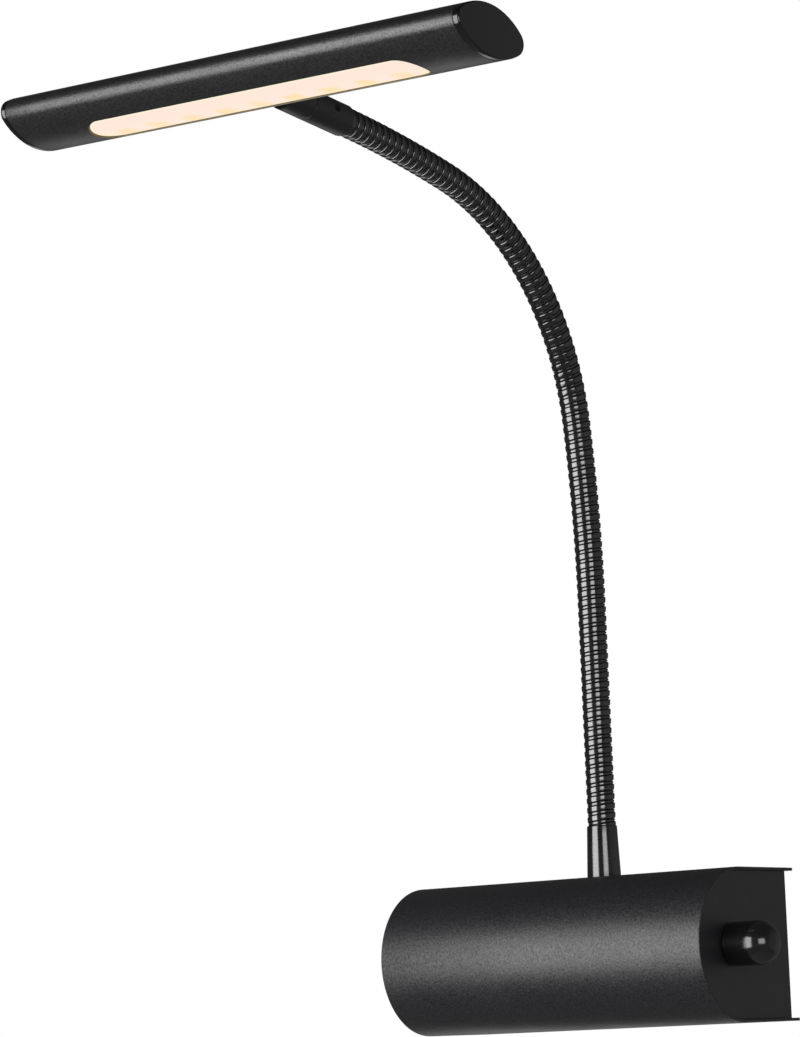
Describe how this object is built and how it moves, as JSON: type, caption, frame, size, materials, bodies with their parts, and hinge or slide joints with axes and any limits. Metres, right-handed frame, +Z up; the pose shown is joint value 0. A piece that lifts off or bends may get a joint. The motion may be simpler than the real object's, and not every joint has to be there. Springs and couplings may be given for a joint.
{
  "type": "wall lamp",
  "caption": "Wall lamp with a half-round base, a dimmer knob on its end, a bendable gooseneck and a long oval lamp head with an LED light slot underneath.",
  "frame": {"origin": "middle of the base on the wall plane, between the two slots for wall screws", "axes": "+X along the wall towards the dimmer knob, +Y into the wall, +Z up"},
  "size_m": [0.2264, 0.2402, 0.3691],
  "materials": {
    "black_coat": "satin",
    "black_tube": "satin",
    "black_neck": "gloss",
    "black_turned": "satin",
    "black_plastic": "gloss",
    "zinc_steel": "satin",
    "brass": "satin",
    "white_plastic": "satin",
    "grey_plastic": "matte",
    "black_rubber": "matte",
    "lead_sheath": "satin",
    "carrier_aluminium": "satin",
    "led_phosphor": "satin",
    "opal": "satin"
  },
  "bodies": {
    "base": {"wall_bracket": "zinc_steel", "cable_grommet": "black_rubber", "base_cover": "black_coat", "end_plate_left": "black_coat", "end_plate_right": "black_coat", "cover_screws": "black_coat", "led_driver": "white_plastic", "terminal_block": "white_plastic", "terminal_screws": "brass", "inner_screws": "zinc_steel", "earth_tag": "brass", "earth_screw": "zinc_steel", "mains_leads": "lead_sheath", "dimmer_leads": "lead_sheath", "dimmer_body": "grey_plastic", "dimmer_washer": "zinc_steel", "dimmer_nut": "zinc_steel", "neck_nipple": "brass", "neck_washer": "zinc_steel", "neck_lock_nut": "brass", "neck_collar": "black_neck", "neck_section_0": "black_neck", "neck_cable": "lead_sheath"},
    "knob": {"dimmer_shaft": "zinc_steel", "dimmer_knob": "black_plastic"},
    "neck_1": {"neck_section_1": "black_neck"},
    "neck_2": {"neck_section_2": "black_neck"},
    "neck_3": {"neck_section_3": "black_neck"},
    "neck_4": {"neck_section_4": "black_neck"},
    "neck_5": {"neck_section_5": "black_neck"},
    "neck_6": {"neck_section_6": "black_neck"},
    "neck_7": {"neck_section_7": "black_neck"},
    "neck_8": {"neck_section_8": "black_neck"},
    "neck_9": {"neck_section_9": "black_neck", "head_sleeve": "black_turned", "sleeve_grub_screw": "black_turned"},
    "head": {"head_stub": "black_turned", "head_tube": "black_tube", "head_cap_left": "black_plastic", "head_cap_right": "black_plastic", "diffuser": "opal", "stub_nut": "zinc_steel", "led_carrier": "carrier_aluminium", "led_board": "carrier_aluminium", "led_chips": "led_phosphor", "head_connector": "white_plastic"}
  },
  "joints": [
    {"name": "dimmer_turn", "type": "hinge", "parent": "base", "child": "knob", "pos_m": [0.0773, -0.043, 0], "axis": [1, 0, 0], "range_deg": [-270, 0]},
    {"name": "neck_bend_1", "type": "hinge", "parent": "base", "child": "neck_1", "pos_m": [0, -0.0188, 0.07129], "axis": [1, 0, 0], "range_deg": [-3, 38], "deforming": ["neck_cable"]},
    {"name": "neck_sway_1", "type": "hinge", "parent": "neck_1", "child": "neck_2", "pos_m": [0, -0.0188, 0.11107], "axis": [0, 1, 0], "range_deg": [-25, 25], "deforming": ["neck_cable"]},
    {"name": "neck_bend_2", "type": "hinge", "parent": "neck_2", "child": "neck_3", "pos_m": [0, -0.01888, 0.15084], "axis": [1, 0, 0], "range_deg": [-4, 35], "deforming": ["neck_cable"]},
    {"name": "neck_sway_2", "type": "hinge", "parent": "neck_3", "child": "neck_4", "pos_m": [0, -0.02094, 0.19056], "axis": [0, 0.9962, 0.087], "range_deg": [-25, 25], "deforming": ["neck_cable"]},
    {"name": "neck_bend_3", "type": "hinge", "parent": "neck_4", "child": "neck_5", "pos_m": [0, -0.02661, 0.22988], "axis": [1, 0, 0], "range_deg": [-14, 19], "deforming": ["neck_cable"]},
    {"name": "neck_sway_3", "type": "hinge", "parent": "neck_5", "child": "neck_6", "pos_m": [0, -0.04389, 0.26546], "axis": [0, 0.8052, 0.5931], "range_deg": [-25, 25], "deforming": ["neck_cable"]},
    {"name": "neck_bend_4", "type": "hinge", "parent": "neck_6", "child": "neck_7", "pos_m": [0, -0.07275, 0.29251], "axis": [1, 0, 0], "range_deg": [-16, 17], "deforming": ["neck_cable"]},
    {"name": "neck_sway_4", "type": "hinge", "parent": "neck_7", "child": "neck_8", "pos_m": [0, -0.10935, 0.30754], "axis": [0, 0.2414, 0.9704], "range_deg": [-25, 25], "deforming": ["neck_cable"]},
    {"name": "neck_bend_5", "type": "hinge", "parent": "neck_8", "child": "neck_9", "pos_m": [0, -0.14826, 0.3158], "axis": [1, 0, 0], "range_deg": [-6, 34], "deforming": ["neck_cable"]},
    {"name": "head_swivel", "type": "hinge", "parent": "neck_9", "child": "head", "pos_m": [0, -0.18969, 0.32197], "axis": [0, -0.9903, 0.1392], "range_deg": [-90, 90], "deforming": ["neck_cable"]}
  ]
}
